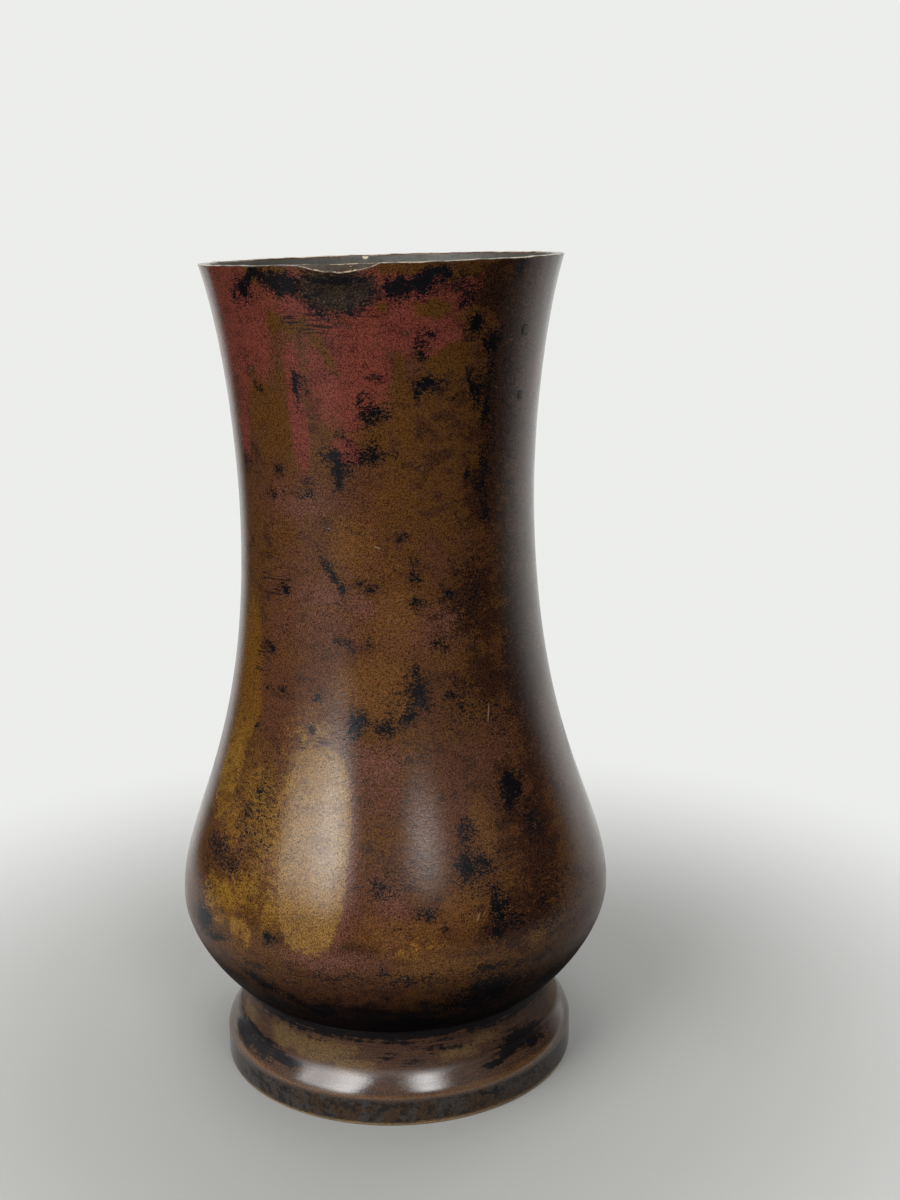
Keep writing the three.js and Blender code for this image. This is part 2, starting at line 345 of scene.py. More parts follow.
BLACK_DUSTINGS = (
    (24, 235, 3.8, 2.8), (27, 230, 2.4, 4), (12, 218, 1.7, 4.8), (14, 222, 1.8, 1.4), (11, 205.5, 1.7, 2.1),
    (24, 204, 3.4, 0.9, 8), (38.5, 208, 1.8, 9), (40, 219, 2, 4), (37, 186, 2.4, 4.6),
    (29.3, 183.6, 1.6, 2.8), (35.5, 180, 3, 4), (38, 173, 2.8, 4.8), (-6.5, 205, 2.2, 2), (-3, 211, 3, 1),
    (-12.5, 193, 4.8, 1.6, -25), (-7, 190, 3, 2.1, -20), (1.5, 190, 1.7, 1), (-42, 184, 2.3, 2.2),
    (-31, 183, 2.2, 1.7), (-30.5, 178.6, 3.4, 1.9), (-48, 178, 2.6, 2), (-39, 178.5, 1.3, 1),
    (-63, 185, 3.5, 4), (-48, 207, 1.2, 1.6), (5, 167, 1.5, 3), (9, 161, 1.6, 1.8), (10, 156, 2.6, 2.6),
    (10, 149.5, 3.6, 1.8), (-7, 154.5, 3, 2.2), (21, 150.5, 2.5, 1.8), (-17, 138.6, 3.2, 1.7),
    (-7, 138.8, 2.1, 1.3), (18, 137, 2.4, 2.2), (-48.5, 123.5, 2, 1.2), (-40.5, 124, 2.3, 1.4),
    (-2, 116.4, 5, 2.5), (29, 125.7, 2, 0.7, 12), (38, 127.4, 2.2, 0.7, 12), (-52, 112, 2, 1.6),
    (20.5, 87.5, 3, 4.2), (43.5, 86, 4.2, 6.4), (27, 68, 3.6, 7.8, 10), (30, 62, 4.2, 2.7),
    (40, 65, 3.8, 1.4, 20), (-40, 82, 2.7, 1.3), (-45, 96, 1.3, 3.2, -25), (-48, 90, 2.8, 2, 40),
    (-58, 76.5, 7.5, 4.6), (-50, 75, 3.2, 2.7), (-4.5, 74.5, 3.6, 3.8), (7, 68.5, 3, 2.4),
    (-4, 53.6, 2.6, 1.5), (3, 50.6, 9, 1.1), (-16, 51, 9, 0.9), (-40, 50.5, 9, 1.2), (22, 51, 9, 1.8),
    (36, 50, 8, 1.6), (11, 63.5, 2.3, 1.3), (23, 79, 4.5, 3.4, 20), (8.5, 125, 4.4, 8), (-48, 233, 6, 4.6),
    (11, 234, 9.5, 4.4, 10), (-33, 235.6, 8, 4, -15), (31, 222, 4.4, 4.4), (-16, 187, 3.4, 5, -10),
    (-4, 200, 5, 4, -30), (-6, 190, 6, 3.4, -20), (-30, 207, 3, 5.4), (15, 208, 5, 3.4), (33, 206, 3, 6),
    (38, 96, 5.4, 6), (20, 79, 5.5, 5, 10),
)
# Dark marks under the belly: stain streaks on the left, and painted shade on the shaded underside at the
# front and right
BELLY_STAINS_AND_SHADE = (
    (24, 42, 13, 6.5), (50, 38, 12, 4), (-38, 44, 9, 2.4, -22), (-25, 38, 8, 2.2, -25), (4, 33, 12, 3),
)
DARK_VEILS = (
    (40, 195, 3, 24), (24, 76, 9, 9), (36, 94, 8, 9), (44, 84, 7, 10), (-2, 76, 8, 5), (28, 62, 10, 4),
    (4, 122, 7, 6), (-60, 66, 9, 8), (48, 206, 7, 38), (50, 130, 8, 30), (24, 121, 8, 9), (30, 150, 9, 14),
    (36, 116, 8, 8), (0, 50, 40, 3), (-50, 75, 12, 6), (-45, 90, 12, 20), (44, 66, 12, 14), (38, 230, 8, 9),
)
ROSE_VEILS = (
    (-18, 150, 20, 16), (14, 140, 18, 12), (-6, 104, 12, 10), (40, 110, 12, 14), (-2, 72, 9, 14),
    (12, 92, 10, 10), (-40, 150, 8, 16), (-35, 176, 14, 8),
)
# Umber patina, mostly on the right side, where it is also painted shade that darkens the side the light
# leaves dim
UMBER_PATINA_AND_SIDE_SHADE = (
    (43.5, 204, 9.5, 44), (54, 130, 10, 40), (47, 84, 5, 12), (36, 176, 5, 12), (34, 150, 8, 12),
    (36, 231, 8, 8), (40, 78, 8, 20), (30, 62, 8, 6), (34, 128, 7, 8), (150, 190, 20, 40),
    (-120, 150, 14, 40),
)
SCRAPED = ((-24, 225, 8, 3.2), (-6, 226.4, 6, 1.6), (-46, 156, 6, 7), (-27, 112, 5, 3), (-52, 130, 4, 5))
DENT_GRAIN = ((DENT_AZIMUTH - 0.6, 234, 11, 7),)
# Dark band at the top of the knock: partly dark scar, partly painted shade under the knocked-in lip
DENT_SCAR_AND_LIP_SHADE = ((DENT_AZIMUTH, 236.6, 9, 1.7),)
DENT_BORDER = (
    (-24, 232, 2.4, 2, -45), (-20, 228.8, 3.4, 1.8, -30), (-13, 227.2, 5.5, 1.4), (-6, 229, 3.2, 1.7, 25),
    (-2.4, 232.4, 1.8, 2.2, 50),
)

# Marks that go on round the back, in clusters placed by a seeded draw:
# count, marks in each, lowest and highest, largest half sizes
BACK_FROM = 75
BACK_SEED = 11
BACK_RED = (5, 6, 200, 236, 12, 11)
BACK_OLIVE = (6, 4, 150, 232, 7, 9)
BACK_OCHRE = (7, 7, 50, 125, 9, 13)
BACK_ROSE = (9, 4, 60, 180, 6, 5)
BACK_AMBER = (10, 4, 50, 190, 8, 6)
BACK_BLOTS = (20, 4, 48, 238, 2.2, 2.6)
BACK_DUSTINGS = (26, 4, 48, 236, 3, 3.2)
# How far each wave pulls the marks out of shape, with its turns round and its run up
WARP = ((0.6, 17, 9.0), (0.45, 31, -5.3), (0.35, 53, 3.1))
SPRAY = 0.8


def warped(place):
    """Places pulled sideways and up by a few waves, so that oval marks turn out irregular."""
    azimuth, height, radius = place
    turn = np.radians(azimuth)
    sideways = sum(pull * np.sin(turns * turn + height / run) for pull, turns, run in WARP)
    upward = sum(pull * np.cos((turns + 2) * turn - height / run) for pull, turns, run in WARP)
    return azimuth + np.degrees(sideways / radius), height + upward, radius


def spread(marks, place, steep=1, square=2):
    """Field of oval marks, 1 in the middle of each and one half on its edge. A steep field has sharper edges,
    and a square one has fuller corners."""
    azimuth, height, radius = place
    field = np.zeros_like(azimuth)
    for mark_azimuth, mark_height, half_width, half_height, *lean in marks:
        sideways = np.radians(wrapped(azimuth - mark_azimuth)) * radius
        upward = height - mark_height
        turn = math.radians(lean[0]) if lean else 0.0
        across = (sideways * math.cos(turn) + upward * math.sin(turn)) / half_width
        up = (upward * math.cos(turn) - sideways * math.sin(turn)) / half_height
        reach = (np.abs(across) ** square + np.abs(up) ** square) ** (2 / square)
        field = np.maximum(field, np.exp2(-(reach**steep)))
    return field


def largest(*fields):
    return np.maximum.reduce(fields)


def scattered(draw, count, members, lowest, highest, half_width, half_height):
    """Clusters of marks on the side that the photograph doesn't show."""
    marks = []
    for _ in range(count):
        azimuth = draw.uniform(BACK_FROM, 360 - BACK_FROM)
        height = draw.uniform(lowest, highest)
        for _ in range(members):
            aside = draw.normal(0, half_width)
            above = draw.normal(0, half_height)
            size = draw.uniform(0.25, 0.9)
            lean = draw.uniform(-40, 40)
            marks.append((azimuth + aside, height + above, half_width * size, half_height * size, lean))
    return tuple(marks)


def body_fields(place):
    """Fields of the body's marks, each weighted by how far it shows."""
    draw = np.random.default_rng(BACK_SEED)
    drawn = warped(place)
    red = spread(RED_ZONE + scattered(draw, *BACK_RED), drawn, 1.5)
    olive = spread(OLIVE_PATCHES + scattered(draw, *BACK_OLIVE), drawn, 1.3)
    ochre = spread(OCHRE_PATCHES, drawn, 1.5)
    broken = 0.7 * spread(BROKEN_OCHRE + scattered(draw, *BACK_OCHRE), drawn)
    broken = largest(broken, 0.56 * spread(FAINT_OCHRE, drawn))
    tongue = spread(OCHRE_TONGUE, place, 6, 2.7)
    tongue = largest(tongue, 0.55 * spread(TONGUE_FLANK, drawn))
    ochre = largest(ochre, broken, tongue)
    rose = 0.75 * spread(ROSE_PATCHES + scattered(draw, *BACK_ROSE), drawn)
    rose = largest(rose, 0.62 * spread(TONGUE_SHADE, place, 5, 2.7), 0.46 * spread(ROSE_VEILS, drawn))
    amber = spread(AMBER_PATCHES + scattered(draw, *BACK_AMBER), drawn)
    blots = spread(BLACK_BLOTS + scattered(draw, *BACK_BLOTS), drawn, SPRAY)
    dustings = spread(BLACK_DUSTINGS + DENT_BORDER + scattered(draw, *BACK_DUSTINGS), drawn, 1.5)
    bold = spread(BOLD_BLOTS, drawn, 2)
    dent = spread(DENT_GRAIN, place, 2)
    # Top of the knock: dark scar and painted shade under the lip
    dent_scar_and_lip_shade = 0.8 * spread(DENT_SCAR_AND_LIP_SHADE, place, 2)
    veils = 0.42 * spread(DARK_VEILS, place)
    black = largest(blots, bold, 0.64 * dustings, 0.9 * spread(BELLY_STAINS_AND_SHADE, drawn), dent_scar_and_lip_shade, veils)
    umber_and_side_shade = spread(UMBER_PATINA_AND_SIDE_SHADE, place)
    scraped = spread(SCRAPED, place, 1.5)
    return (red, olive, ochre, dent), (rose, amber, 1.25 * black - 0.15), (umber_and_side_shade, scraped, tongue)


def connect(made, inputs):
    """Set inputs of a node, each to a plain value or to another node's output."""
    for key, value in inputs.items():
        if isinstance(value, bpy.types.NodeSocket):
            made.id_data.links.new(value, made.inputs[key])
        else:
            made.inputs[key].default_value = value


def node(tree, kind, inputs=None, **settings):
    """Add a shader node with its inputs and settings."""
    made = tree.nodes.new("ShaderNode" + kind)
    for key, value in settings.items():
        setattr(made, key, value)
    connect(made, inputs or {})
    return made


def noise(place, scale, detail, roughness):
    inputs = {"Vector": place, "Scale": scale, "Detail": detail, "Roughness": roughness}
    return node(place.id_data, "TexNoise", inputs).outputs["Fac"]


def stretched(place, across, up):
    """Coordinates that draw a noise out across or along the axis."""
    return node(place.id_data, "Mapping", {"Vector": place, "Scale": (across, across, up)}).outputs["Vector"]


def painted(tree, name):
    """The four fields of a painted attribute."""
    field = node(tree, "Attribute", attribute_name=name)
    return (*node(tree, "SeparateColor", {0: field.outputs["Color"]}).outputs, field.outputs["Alpha"])


def math_node(operation, first, second=0.0, third=0.0):
    return node(first.id_data, "Math", {0: first, 1: second, 2: third}, operation=operation).outputs[0]


def times(first, second):
    return math_node("MULTIPLY", first, second)


def larger(first, second):
    return math_node("MAXIMUM", first, second)


def azimuth_of(place):
    """Azimuth of a place in radians, with its x and its z."""
    x, y, z = node(place.id_data, "SeparateXYZ", {0: place}).outputs
    return math_node("ARCTAN2", x, times(y, -1.0)), x, z


def between(value, low, high, start=0.0, end=1.0):
    """Smooth ramp from start to end as value goes from low to high."""
    inputs = {"Value": value, "From Min": low, "From Max": high, "To Min": start, "To Max": end}
    return node(value.id_data, "MapRange", inputs, interpolation_type="SMOOTHSTEP").outputs["Result"]


def up_ramp(height, ends, start=0.0, end=1.0):
    """Smooth ramp between two heights in millimetres."""
    return between(height, ends[0] * MM, ends[1] * MM, start, end)


def mixed(factor, first, second):
    return node(factor.id_data, "Mix", {0: factor, 6: first, 7: second}, data_type="RGBA").outputs[2]


def swayed(value, by, amount):
    """A value moved up and down by a noise."""
    return math_node("MULTIPLY_ADD", math_node("SUBTRACT", by, 0.5), amount, value)


def feathered(field, coarse, fine, spread_by, grain_by, softness):
    """Mask of a field whose edge breaks up into feathers and grains."""
    shifted = swayed(swayed(field, coarse, spread_by), fine, grain_by)
    return between(shifted, 0.5 - softness, 0.5 + softness)


def scaled(colour, value):
    return node(colour.id_data, "VectorMath", {0: colour, "Scale": value}, operation="SCALE").outputs[0]


def rgb(red, green, blue):
    return (red, green, blue, 1.0)


BROWN = rgb(0.068, 0.026, 0.011)
OLIVE = rgb(0.071, 0.029, 0.007)
UMBER = rgb(0.030, 0.012, 0.006)
MAUVE = rgb(0.060, 0.025, 0.016)
RED = rgb(0.117, 0.029, 0.019)
DARK_RED = rgb(0.086, 0.021, 0.014)
OCHRE = rgb(0.160, 0.080, 0.013)
DEEP_OCHRE = rgb(0.104, 0.044, 0.007)
ROSE = rgb(0.088, 0.036, 0.022)
# Even, paler ochre coat of the tongue: its own ochre, and partly a painted highlight where the window's
# reflection lies
TONGUE_AND_HIGHLIGHT = rgb(0.168, 0.092, 0.030)
TONGUE_AND_HIGHLIGHT_COAT = 0.55
AMBER = rgb(0.092, 0.039, 0.011)
INK = rgb(0.003, 0.003, 0.004)
DENT_BROWN = rgb(0.024, 0.015, 0.009)
DENT_PALE = rgb(0.120, 0.098, 0.072)
PALE_SPECK = rgb(0.190, 0.130, 0.075)
LIP_BRONZE = rgb(0.046, 0.037, 0.027)
BRASS = rgb(0.340, 0.270, 0.190)
LIP_RUBBED = 0.26
LIP_EDGE_RUBBED = 0.57

# Gloss of the body and shares of it
PATINA_IOR = 1.55
PATINA_SPECULAR = 0.42
NECK_SPECULAR = 0.30
DULL_SHARE = 0.25
UNDER_SHARE = 0.05
LOW_BELLY_SHARE = 0.26
# Heights between which the gloss or the tone changes
DULL_NECK_RISE = (90.0, 122.0)
DULL_UNDER_RISE = (40.0, 57.0)
LOW_BELLY_RISE = (60.0, 84.0)
DEEP_OCHRE_RISE = (100.0, 118.0)
# Painted shade: towards the belly's underside the colour darkens to black between these heights, unevenly by
# up to this many millimetres, and by at most this share
UNDERSIDE_SHADE_RISE = (33.0, 52.0)
UNDERSIDE_SHADE_UNEVEN = 44.0
UNDERSIDE_SHADE_SHARE = 0.96
# Scratches: azimuth, height, half length, lean
SCRATCHES = ((34, 117.3, 2.9, 78), (20.5, 65.8, 1.2, 60), (-4, 165, 1.0, -25))
SCRATCH_WIDTH = 0.3
SCRATCH_TAPER = 0.6


def new_material(name):
    material = bpy.data.materials.new(name)
    material.use_nodes = True
    tree = material.node_tree
    shader = tree.nodes["Principled BSDF"]
    place = node(tree, "TexCoord").outputs["Object"]
    return material, tree, shader, place


def bump(height, strength, distance):
    inputs = {"Height": height, "Strength": strength, "Distance": distance}
    return node(height.id_data, "Bump", inputs).outputs["Normal"]


def scratched(place):
    """Mask of a few thin straight scratches."""
    azimuth, _, z = azimuth_of(place)
    outer = body_outer()
    mask = None
    for mark_azimuth, mark_height, half_length, lean in SCRATCHES:
        radius = float(np.interp(mark_height, outer[:, 1], outer[:, 0])) * MM
        turn = math.radians(lean)
        side = times(math_node("SUBTRACT", azimuth, math.radians(mark_azimuth)), radius)
        up = math_node("SUBTRACT", z, mark_height * MM)
        run = math_node("MULTIPLY_ADD", side, math.cos(turn), times(up, math.sin(turn)))
        off = math_node("MULTIPLY_ADD", side, -math.sin(turn), times(up, math.cos(turn)))
        run_ends = (SCRATCH_TAPER * half_length, half_length)
        run = up_ramp(math_node("ABSOLUTE", run), run_ends, 1.0, 0.0)
        off = up_ramp(math_node("ABSOLUTE", off), (0.0, SCRATCH_WIDTH), 1.0, 0.0)
        line = times(run, off)
        mask = line if mask is None else larger(mask, line)
    return mask


def body_patina():
    material, tree, shader, place = new_material("mottled_patina")
    red, olive, ochre, dent = painted(tree, "patina_first")
    rose, amber, black, worn = painted(tree, "patina_second")
    umber_and_side_shade, scraped, tongue, _ = painted(tree, "patina_third")
    height = node(tree, "SeparateXYZ", {0: place}).outputs["Z"]
    brushed = stretched(place, 1.0, 1.6)
    cloud = noise(place, 38, 4, 0.6)
    drift = noise(brushed, 130, 6, 0.65)
    feather = noise(brushed, 420, 8, 0.75)
    grain = noise(brushed, 1700, 3, 0.7)
    fleck = noise(brushed, 650, 5, 0.92)
    fine = noise(place, 2600, 1, 0.6)
    hairs = noise(stretched(place, 0.12, 5.0), 800, 2, 0.5)
    scrape = noise(stretched(place, 0.25, 4.4), 560, 2, 0.5)
    mottle = swayed(feather, grain, 0.9)

    # Brown ground and the coloured marks on it
    colour = mixed(between(cloud, 0.44, 0.56), BROWN, OLIVE)
    colour = mixed(between(drift, 0.52, 0.62, 0.0, 0.7), colour, UMBER)
    colour = mixed(between(mottle, 0.49, 0.56, 0.0, 0.5), colour, MAUVE)
    deep = larger(up_ramp(height, DEEP_OCHRE_RISE), between(drift, 0.46, 0.62))
    ochre_tone = mixed(deep, OCHRE, DEEP_OCHRE)
    red_tone = mixed(between(drift, 0.48, 0.66), RED, DARK_RED)
    coats = (
        (amber, drift, mottle, 1.3, 1.4, 0.2, AMBER),
        (rose, fleck, fine, 2.6, 0.8, 0.12, ROSE),
        (ochre, drift, mottle, 1.0, 1.6, 0.10, ochre_tone),
        (red, drift, mottle, 0.9, 1.5, 0.10, red_tone),
        (olive, drift, mottle, 0.9, 1.5, 0.14, OLIVE),
    )
    for *mask, tone in coats:
        colour = mixed(feathered(*mask), colour, tone)

    # Scar in the knock, umber patina with painted shade on the right side, hairs, and the tongue's coat,
    # partly a painted highlight
    scar = feathered(dent, feather, grain, 1.6, 1.8, 0.15)
    scar_tone = mixed(between(mottle, 0.47, 0.56, 0.0, 0.9), DENT_BROWN, INK)
    scar_tone = mixed(between(fleck, 0.42, 0.34, 0.0, 0.7), scar_tone, DENT_PALE)
    colour = mixed(scar, colour, scar_tone)
    # Umber patina, with painted shade darkening the right side
    colour = mixed(feathered(umber_and_side_shade, drift, mottle, 2.4, 2.6, 0.2), colour, UMBER)
    colour = mixed(between(hairs, 0.64, 0.72, 0.0, 0.5), colour, UMBER)
    colour = mixed(between(grain, 0.57, 0.66, 0.0, 0.28), colour, UMBER)
    # The tongue's even coat, partly a painted highlight
    tongue_and_highlight_coat = times(feathered(tongue, drift, mottle, 0.7, 1.0, 0.14), TONGUE_AND_HIGHLIGHT_COAT)
    colour = mixed(tongue_and_highlight_coat, colour, TONGUE_AND_HIGHLIGHT)

    # Black, pale specks, painted shade on the belly's underside, and wear
    ink = feathered(black, fleck, grain, 3.6, 2.4, 0.08)
    scrapes = times(between(scrape, 0.55, 0.62), between(scraped, 0.2, 0.7, 0.0, 0.8))
    colour = mixed(larger(ink, scrapes), colour, INK)
    colour = mixed(between(fleck, 0.33, 0.28, 0.0, 0.6), colour, PALE_SPECK)
    # Painted shade: the belly's underside darkens to black below about 52 mm
    underside_shade = up_ramp(swayed(height, drift, UNDERSIDE_SHADE_UNEVEN * MM), UNDERSIDE_SHADE_RISE, UNDERSIDE_SHADE_SHARE, 0.0)
    colour = mixed(underside_shade, colour, INK)
    colour = scaled(colour, between(fine, 0.28, 0.72, 0.4, 1.6))
    colour = mixed(scratched(place), colour, PALE_SPECK)
    lip = between(worn, 0.05, 0.25)
    lip_tone = mixed(between(feather, 0.47, 0.58), LIP_BRONZE, UMBER)
    colour = mixed(lip, colour, lip_tone)
    bare = feathered(worn, drift, feather, 1.2, 1.8, 0.16)
    colour = mixed(bare, colour, BRASS)

    # Gloss and relief
    shaded = up_ramp(height, DULL_UNDER_RISE, 1.0, 0.0)
    sheen = between(drift, 0.35, 0.65, 0.11, 0.17)
    for rough, added in ((ink, 0.08), (scar, 0.18), (shaded, 0.3)):
        sheen = math_node("MULTIPLY_ADD", rough, added, sheen)
    gloss = up_ramp(height, DULL_NECK_RISE, PATINA_SPECULAR, NECK_SPECULAR)
    shares = (
        between(larger(scar, lip), 0.0, 1.0, 1.0, DULL_SHARE),
        between(shaded, 0.0, 1.0, 1.0, UNDER_SHARE),
        up_ramp(height, LOW_BELLY_RISE, LOW_BELLY_SHARE, 1.0),
        between(grain, 0.36, 0.64, 1.3, 0.7),
    )
    for share in shares:
        gloss = times(gloss, share)
    relief = math_node("MULTIPLY_ADD", grain, 0.5, feather)
    relief = times(relief, math_node("MULTIPLY_ADD", scar, 5.0, 1.0))
    connect(shader, {
        "Base Color": colour,
        "Roughness": sheen,
        "Metallic": times(bare, 0.5),
        "IOR": PATINA_IOR,
        "Specular IOR Level": gloss,
        "Normal": bump(relief, 0.12, 0.4 * MM),
    })
    return material


# Pale chip inside the rim, and the inner wall's tones
CHIP_AZIMUTH = -174.0
CHIP_RADIUS = MOUTH_RADIUS - WALL - 0.4
CHIP_DROP = 0.55
CHIP_SIZE = 1.1
CHIP_CORE = 0.7
CHIP_PALE = rgb(0.420, 0.370, 0.260)
INNER_BRONZE = rgb(0.062, 0.058, 0.047)
INNER_STAIN = rgb(0.038, 0.035, 0.028)
INNER_GRAIN = rgb(0.024, 0.022, 0.018)


def inner_bronze():
    material, tree, shader, place = new_material("inner_bronze")
    stain = noise(place, 60, 6, 0.65)
    grain = noise(place, 900, 4, 0.6)
    colour = mixed(between(stain, 0.4, 0.62), INNER_BRONZE, INNER_STAIN)
    colour = mixed(between(grain, 0.55, 0.7), colour, INNER_GRAIN)
    turn = math.radians(CHIP_AZIMUTH)
    chip_height = LIP_TOP - CHIP_DROP - RIM_TILT * (1 - math.sin(turn))
    chip = Vector((CHIP_RADIUS * math.sin(turn), -CHIP_RADIUS * math.cos(turn), chip_height)) * MM
    off_chip = node(tree, "VectorMath", {0: place, 1: chip}, operation="DISTANCE").outputs["Value"]
    chipped = up_ramp(off_chip, (CHIP_CORE * CHIP_SIZE, CHIP_SIZE), 1.0, 0.0)
    connect(shader, {
        "Base Color": mixed(chipped, colour, CHIP_PALE),
        "Roughness": between(stain, 0.3, 0.7, 0.5, 0.68),
        "Metallic": 0.25,
        "Normal": bump(grain, 0.2, 0.5 * MM),
    })
    return material


def add_body():
    outline, outside_share = body_outline()

    def worn_shape(azimuth, height, radius):
        return wear_shape(azimuth, height, radius, outside_share[:, None])

    body, place = turned_piece("vase_body", outline, reshape=worn_shape)
    first, second, third = body_fields(place)
    worn = LIP_EDGE_RUBBED * smooth_step(place[1], LIP_TOP - 0.9 * LIP_EASE, LIP_TOP - 0.1 * LIP_EASE)
    worn[(outside_share > 0) & (outside_share < 1)] = LIP_RUBBED
    paint(body.data, "patina_first", first)
    paint(body.data, "patina_second", (*second, worn))
    paint(body.data, "patina_third", (*third, 1.0))
    body.data.materials.append(body_patina())
    body.data.materials.append(inner_bronze())
    inside_from = np.count_nonzero(outside_share) + EASE_RINGS - 1
    slots = np.zeros((len(outline), AROUND), np.int32)
    slots[inside_from:] = 1
    body.data.polygons.foreach_set("material_index", slots.reshape(-1))
    return body


def foot_outline():
    edge = outline_point(FOOT_RADIUS, FOOT_BAND)
    waist = outline_point(WAIST_RADIUS, WAIST_HEIGHT)
    standing = FOOT_RADIUS - STANDING_WIDTH
    hollow = standing - HOLLOW_DRAFT
    socket = WAIST_RADIUS - JOINT_SHOULDER + JOINT_CLEARANCE
    ledge = socket - 2 * JOINT_CLEARANCE - WALL - SOLDER_LEG - LEDGE_LIP
    leave = along(edge, -FOOT_SHOULDER_ANGLE, FOOT_SHOULDER)
    moulding = evenly(bezier(edge, leave, waist - [0, FOOT_NECK_FALL], waist), FOOT_RINGS)
    seam_ease = eased(moulding[-2], waist, outline_point(socket, WAIST_HEIGHT), SEAM_ROUND)
    turns = np.radians(np.linspace(-90, 0, EASE_RINGS))
    round_radius = FOOT_RADIUS - FOOT_EDGE_ROUND * (1 - np.cos(turns))
    low_round = np.stack([round_radius, FOOT_EDGE_ROUND * (1 + np.sin(turns))], axis=1)
    band = evenly(np.array([low_round[-1], edge]), BAND_RINGS)[1:-1]
    hidden = [
        (socket, WAIST_HEIGHT), (socket, LEDGE_TOP), (ledge, LEDGE_TOP), (ledge, PLATE_TOP),
        (hollow, PLATE_TOP), (hollow, PLATE_BOTTOM - SOLDER_LEG), (standing, 0),
    ]
    return np.concatenate([low_round, band, moulding[:-1], seam_ease, hidden])


FOOT_DARK = (
    (-66, 14, 10, 2.9), (-52, 13.6, 9, 2.3), (-42, 13.4, 6, 1.4), (49, 15.4, 9, 2.8, -8), (40, 15.2, 5, 2),
    (32, 12.9, 4, 1), (120, 14, 12, 2), (170, 15, 14, 2), (-130, 14, 12, 2),
)
FOOT_DUST = (
    (-3, 18.4, 4, 1.4), (3, 17, 5, 1), (-13, 19.8, 1.2, 1.2), (14, 20, 8, 1.6), (30, 6, 6, 2.5),
    (-52, 5, 12, 2.5), (-30, 21.5, 8, 1.4), (100, 5, 14, 2.5), (-150, 5, 20, 2.5), (60, 4, 10, 2.5),
)
FOOT_GLOW = (
    (-44, 19.2, 6, 2.6), (-31, 18.6, 7, 2.8), (-21, 19.6, 6, 2.4), (-17, 16, 7, 1.8), (20, 18, 6, 1.4),
    (31, 20.2, 5, 1.6), (-70, 18, 6, 2.6), (90, 18, 14, 3), (140, 17, 12, 3), (-170, 18, 16, 3),
    (-110, 17, 10, 3),
)
FOOT_BARE = (
    (-58, 9.6, 16, 0.8), (0, 8.9, 60, 0.5), (32, 9.2, 18, 1.1), (48, 9.8, 14, 0.8), (170, 9.2, 100, 0.6),
)
FOOT_BROWN = rgb(0.058, 0.029, 0.016)
FOOT_UMBER = rgb(0.036, 0.020, 0.014)
FOOT_AMBER = rgb(0.094, 0.056, 0.024)
FOOT_ROSE = rgb(0.058, 0.028, 0.020)
FOOT_INK = rgb(0.004, 0.003, 0.004)
FOOT_GRAIN = rgb(0.020, 0.010, 0.007)
# Grey of the foot's lower band: partly its own slate patina, partly a painted reflection of the floor; the
# band's gloss is lowered by BAND_SHARE
BAND_SLATE_AND_REFLECTION = rgb(0.036, 0.031, 0.027)
SLATE_BROWN = rgb(0.040, 0.022, 0.011)
SLATE_BLACK = rgb(0.008, 0.006, 0.006)
RUBBED_LOW = rgb(0.260, 0.180, 0.090)
RUBBED_HIGH = rgb(0.096, 0.047, 0.019)
RUBBED_RISE = (0.0, 2.0)
FOOT_SHINE_RISE = (13.0, 16.0)
FOOT_SPECULAR = 0.75
FLANK_SPECULAR = 0.08
BAND_SHARE = 0.3
BAND_EDGE = (0.2, 1.6)
# Reach of the painted shade, partly dark patina, in the groove where the foot meets the body
GROOVE_SHADE_REACH = 3.2
EDGE_WEAR = 0.9
EDGE_REACH = 1.0


def foot_patina():
    material, tree, shader, place = new_material("foot_patina")
    dark, glow, edge, band = painted(tree, "patina_foot")
    height = node(tree, "SeparateXYZ", {0: place}).outputs["Z"]
    streak = noise(stretched(place, 0.25, 3.0), 420, 6, 0.7)
    drift = noise(place, 130, 6, 0.65)
    feather = noise(place, 420, 8, 0.75)
    grain = noise(place, 1500, 4, 0.7)
    fine = noise(place, 2600, 1, 0.6)
    colour = mixed(between(streak, 0.44, 0.58), FOOT_BROWN, FOOT_UMBER)
    colour = mixed(feathered(glow, drift, streak, 1.6, 2.0, 0.3), colour, FOOT_AMBER)
    colour = mixed(between(feather, 0.50, 0.62, 0.0, 0.6), colour, FOOT_ROSE)
    # Lower band: slate tone, partly a painted reflection of the floor
    band_slate_and_reflection = mixed(between(drift, 0.47, 0.57), BAND_SLATE_AND_REFLECTION, SLATE_BROWN)
    band_slate_and_reflection = mixed(between(feather, 0.48, 0.56, 0.0, 0.8), band_slate_and_reflection, SLATE_BLACK)
    colour = mixed(band, colour, band_slate_and_reflection)
    # Black streaks and dust, and painted shade with dark patina in the groove under the body
    colour = mixed(feathered(dark, feather, streak, 2.0, 2.0, 0.14), colour, FOOT_INK)
    rubbed_tone = mixed(up_ramp(height, RUBBED_RISE), RUBBED_LOW, RUBBED_HIGH)
    colour = mixed(feathered(edge, drift, streak, 1.0, 1.4, 0.35), colour, rubbed_tone)
    colour = mixed(between(grain, 0.55, 0.67, 0.0, 0.4), colour, FOOT_GRAIN)
    sheen = between(streak, 0.35, 0.65, 0.11, 0.18)
    gloss = up_ramp(height, FOOT_SHINE_RISE, FOOT_SPECULAR, FLANK_SPECULAR)
    relief = math_node("MULTIPLY_ADD", streak, 0.8, feather)
    connect(shader, {
        "Base Color": scaled(colour, between(fine, 0.28, 0.72, 0.6, 1.4)),
        "Roughness": math_node("ADD", sheen, up_ramp(height, FOOT_SHINE_RISE, 0.0, 0.3)),
        "IOR": PATINA_IOR,
        "Specular IOR Level": times(gloss, between(band, 0.0, 1.0, 1.0, BAND_SHARE)),
        "Normal": bump(relief, 0.07, 0.4 * MM),
    })
    return material


